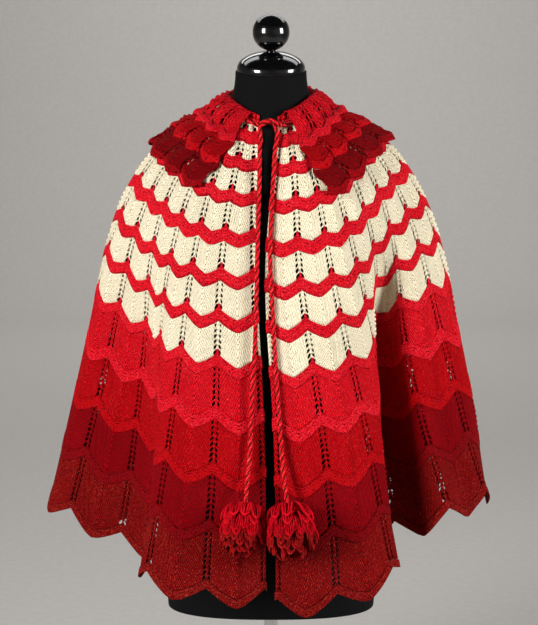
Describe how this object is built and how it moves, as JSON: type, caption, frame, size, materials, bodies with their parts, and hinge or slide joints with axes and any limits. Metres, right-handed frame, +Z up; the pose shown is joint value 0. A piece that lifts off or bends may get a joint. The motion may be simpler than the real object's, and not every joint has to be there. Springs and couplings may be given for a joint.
{
  "type": "knitted cape on dress form",
  "caption": "Hand-knit chevron lace cape with scalloped collar, drawstring and pompoms, worn by a limbless dress form on a round stand.",
  "frame": {"origin": "centre of the stand's flat underside, on the pole's axis", "axes": "+Z up along the pole, -Y out of the cape's open front, +X towards the wearer's left"},
  "size_m": [0.6955, 0.5185, 1.1124],
  "materials": {
    "cream_wool": "matt hand-knitted wool, cream, with scarlet garter bands",
    "scarlet_wool": "matt hand-knitted wool, scarlet",
    "red_wool": "matt hand-knitted wool, red",
    "dark_red_wool": "matt hand-knitted wool, dark red",
    "brick_red_wool": "matt hand-knitted wool, brick red",
    "cord_wool": "twisted two-ply wool cord, red and brown red",
    "pompom_wool": "looped wool yarn in scarlet, red and brick red",
    "black_jersey": "matt black jersey cover",
    "black_lacquer": "gloss black lacquer",
    "chrome": "polished"
  },
  "bodies": {
    "root": {"neck_band": "scarlet_wool", "yoke_upper": "cream_wool", "tier_cream_5_right": "cream_wool", "tier_cream_5_left": "cream_wool", "tier_cream_6_right": "cream_wool", "tier_cream_6_left": "cream_wool", "tier_cream_7_right": "cream_wool", "tier_cream_7_left": "cream_wool", "tier_scarlet_right": "scarlet_wool", "tier_scarlet_left": "scarlet_wool", "tier_red_right": "red_wool", "tier_red_left": "red_wool", "tier_dark_red_right": "dark_red_wool", "tier_dark_red_left": "dark_red_wool", "tier_brick_right": "brick_red_wool", "tier_brick_left": "brick_red_wool", "collar_scarlet": "scarlet_wool", "collar_red": "red_wool", "collar_dark_red": "dark_red_wool", "drawstring_neck": "cord_wool", "drawstring_right": "cord_wool", "drawstring_left": "cord_wool", "pompom_right": "pompom_wool", "pompom_left": "pompom_wool", "form_torso": "black_jersey", "form_neck_cap": "black_lacquer", "form_finial": "black_lacquer", "stand_pole": "chrome", "stand_base": "black_lacquer"}
  },
  "joints": []
}
